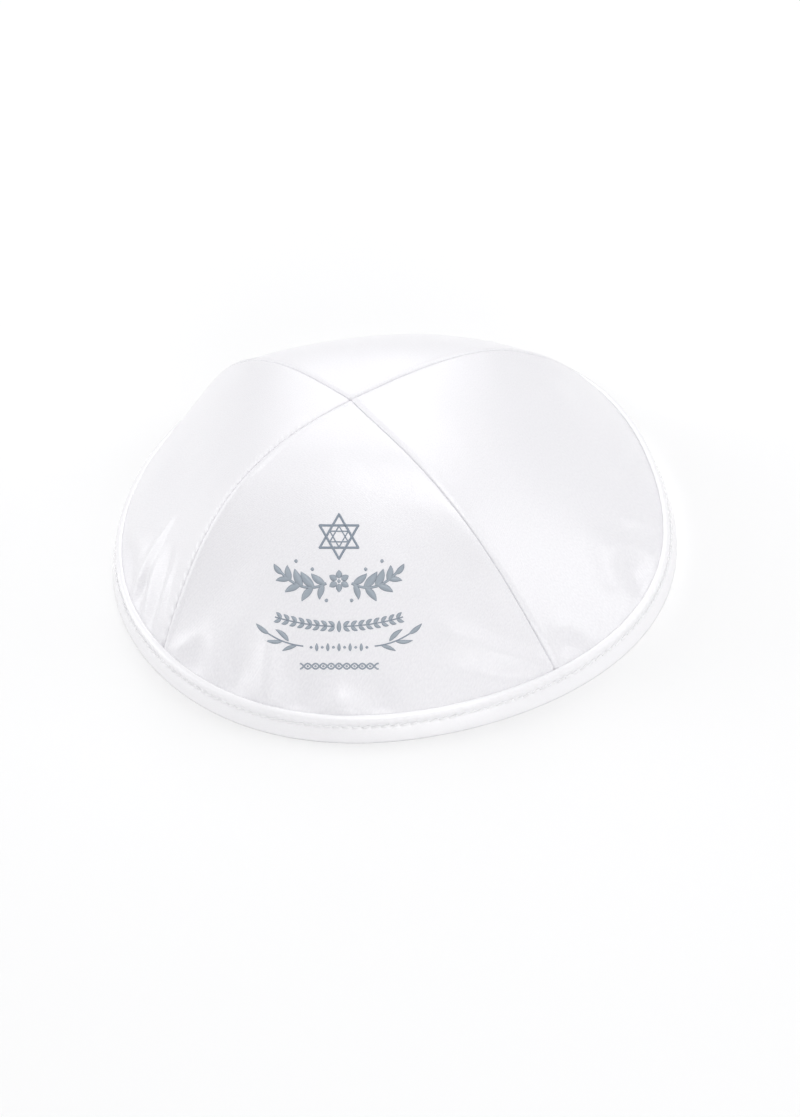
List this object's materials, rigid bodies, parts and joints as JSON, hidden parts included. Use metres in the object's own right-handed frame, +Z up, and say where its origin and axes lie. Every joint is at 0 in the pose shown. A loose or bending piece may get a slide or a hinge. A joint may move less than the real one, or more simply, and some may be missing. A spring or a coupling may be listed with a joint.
{
  "type": "kippah skullcap",
  "caption": "Shallow satin skullcap sewn from gores, open below for the head, with a folded and stitched binding round its rim.",
  "frame": {"origin": "middle of the outline seen from above, at the binding's lower edge, where the cap rests", "axes": "+Z up through the crown, -Y towards the printed front gore, +X to the wearer's left, which is the right of someone facing the front gore"},
  "size_m": [0.1646, 0.1748, 0.0504],
  "materials": {
    "gore_satin": "white satin weave with a soft sheen",
    "binding_satin": "white satin strip, folded and stitched",
    "print_ink": "thin grey transfer film, pressed onto the front gore; only the visual model shows it"
  },
  "bodies": {
    "root": {"gore_front": "gore_satin", "gore_right": "gore_satin", "gore_back": "gore_satin", "gore_left": "gore_satin", "rim_binding": "binding_satin"}
  },
  "joints": []
}
